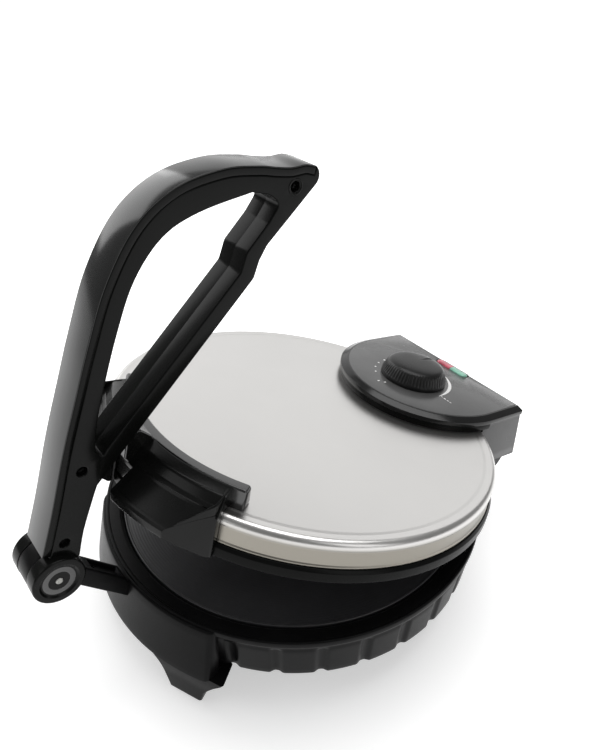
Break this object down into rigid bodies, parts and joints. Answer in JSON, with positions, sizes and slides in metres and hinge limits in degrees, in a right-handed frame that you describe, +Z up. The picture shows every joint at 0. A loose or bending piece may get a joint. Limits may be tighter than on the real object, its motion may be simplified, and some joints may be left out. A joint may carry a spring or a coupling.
{
  "type": "electric roti maker",
  "caption": "Countertop flatbread press with a hinged steel lid, a folding lever that presses the lid, heated round plates and a thermostat knob.",
  "frame": {"origin": "centre of the bounding box in plan, on the surface that the feet stand on", "axes": "+X to the object's left-to-right as seen from the lever side, +Y from the lever towards the control housing, +Z up"},
  "size_m": [0.284, 0.38, 0.3295],
  "materials": {
    "black_shell": "moulded black plastic, semi-gloss",
    "gloss_black": "glossy black plastic",
    "grip": "glossy dark grey plastic",
    "panel_grey": "glossy dark grey plastic",
    "knob_grey": "satin dark grey plastic",
    "steel": "satin brushed steel",
    "plate": "dark non-stick coating on cast metal",
    "element": "oxidised steel tube",
    "bright_sheet": "bright sheet",
    "cover_sheet": "dark painted sheet",
    "zinc": "bright zinc",
    "bronze": "plain bearing metal",
    "rubber": "soft black rubber",
    "ceramic": "pale ceramic or heat-proof plastic",
    "red": "translucent red plastic",
    "green": "translucent green plastic",
    "lamp": "neon lamp glass"
  },
  "bodies": {
    "base": {"base_housing": "black_shell", "base_feet": "black_shell", "lower_plate_ring": "black_shell", "lower_cooking_plate": "plate", "lower_heating_element": "element", "lower_heat_reflector": "bright_sheet", "bottom_cover": "cover_sheet", "bottom_cover_screws": "zinc", "foot_pads": "rubber", "cord_gland": "black_shell", "terminal_block": "ceramic", "thermal_fuse": "ceramic", "lever_bracket": "black_shell", "lever_bracket_screws": "zinc", "rear_hinge_bracket": "black_shell", "hinge_bracket_screws": "zinc"},
    "lever_axle": {"lever_pivot_pin": "zinc"},
    "lever": {"lever_right_half": "gloss_black", "lever_left_half": "gloss_black", "lever_grip_cover": "grip", "lever_screws": "zinc", "lever_pivot_bushes": "bronze", "barrel_caps": "gloss_black"},
    "hinge_axle": {"hinge_pin": "zinc", "hinge_pin_clips": "zinc"},
    "lid": {"lid_cover": "steel", "lid_ring": "gloss_black", "upper_cooking_plate": "plate", "upper_heating_element": "element", "upper_heat_reflector": "bright_sheet", "lid_ring_screws": "zinc", "lid_hinge_arms": "zinc", "lid_hinge_screws": "zinc", "press_collar": "gloss_black", "press_collar_screws": "zinc", "control_housing": "panel_grey", "control_panel": "panel_grey", "control_panel_screws": "zinc", "thermostat": "ceramic", "thermostat_bracket": "bright_sheet", "red_lens": "red", "green_lens": "green", "lamp_holder": "ceramic", "neon_lamps": "lamp"},
    "knob": {"control_knob": "knob_grey", "thermostat_spindle": "zinc"}
  },
  "joints": [
    {"name": "lever_yield", "type": "hinge", "parent": "base", "child": "lever_axle", "pos_m": [0, -0.17383, 0.112], "axis": [1, 0, 0], "range_deg": [0, 135.46]},
    {"name": "lever_swing", "type": "hinge", "parent": "lever_axle", "child": "lever", "pos_m": [0, -0.17383, 0.112], "axis": [-1, 0, 0], "range_deg": [0, 41]},
    {"name": "lid_press", "type": "hinge", "parent": "base", "child": "hinge_axle", "pos_m": [0, 0.15717, 0.068], "axis": [1, 0, 0], "range_deg": [0, 13.5]},
    {"name": "lid_open", "type": "hinge", "parent": "hinge_axle", "child": "lid", "pos_m": [0, 0.15717, 0.068], "axis": [-1, 0, 0], "range_deg": [0, 76.5]},
    {"name": "knob_turn", "type": "hinge", "parent": "lid", "child": "knob", "pos_m": [0, 0.13317, 0.11798], "axis": [0, -0.2334, -0.9724], "range_deg": [0, 270]}
  ],
  "couplings": [
    {"joint": "lid_press", "follows": "lever_swing", "ratio": 0.32927},
    {"joint": "lever_yield", "follows": "lid_open", "ratio": 1.77}
  ]
}
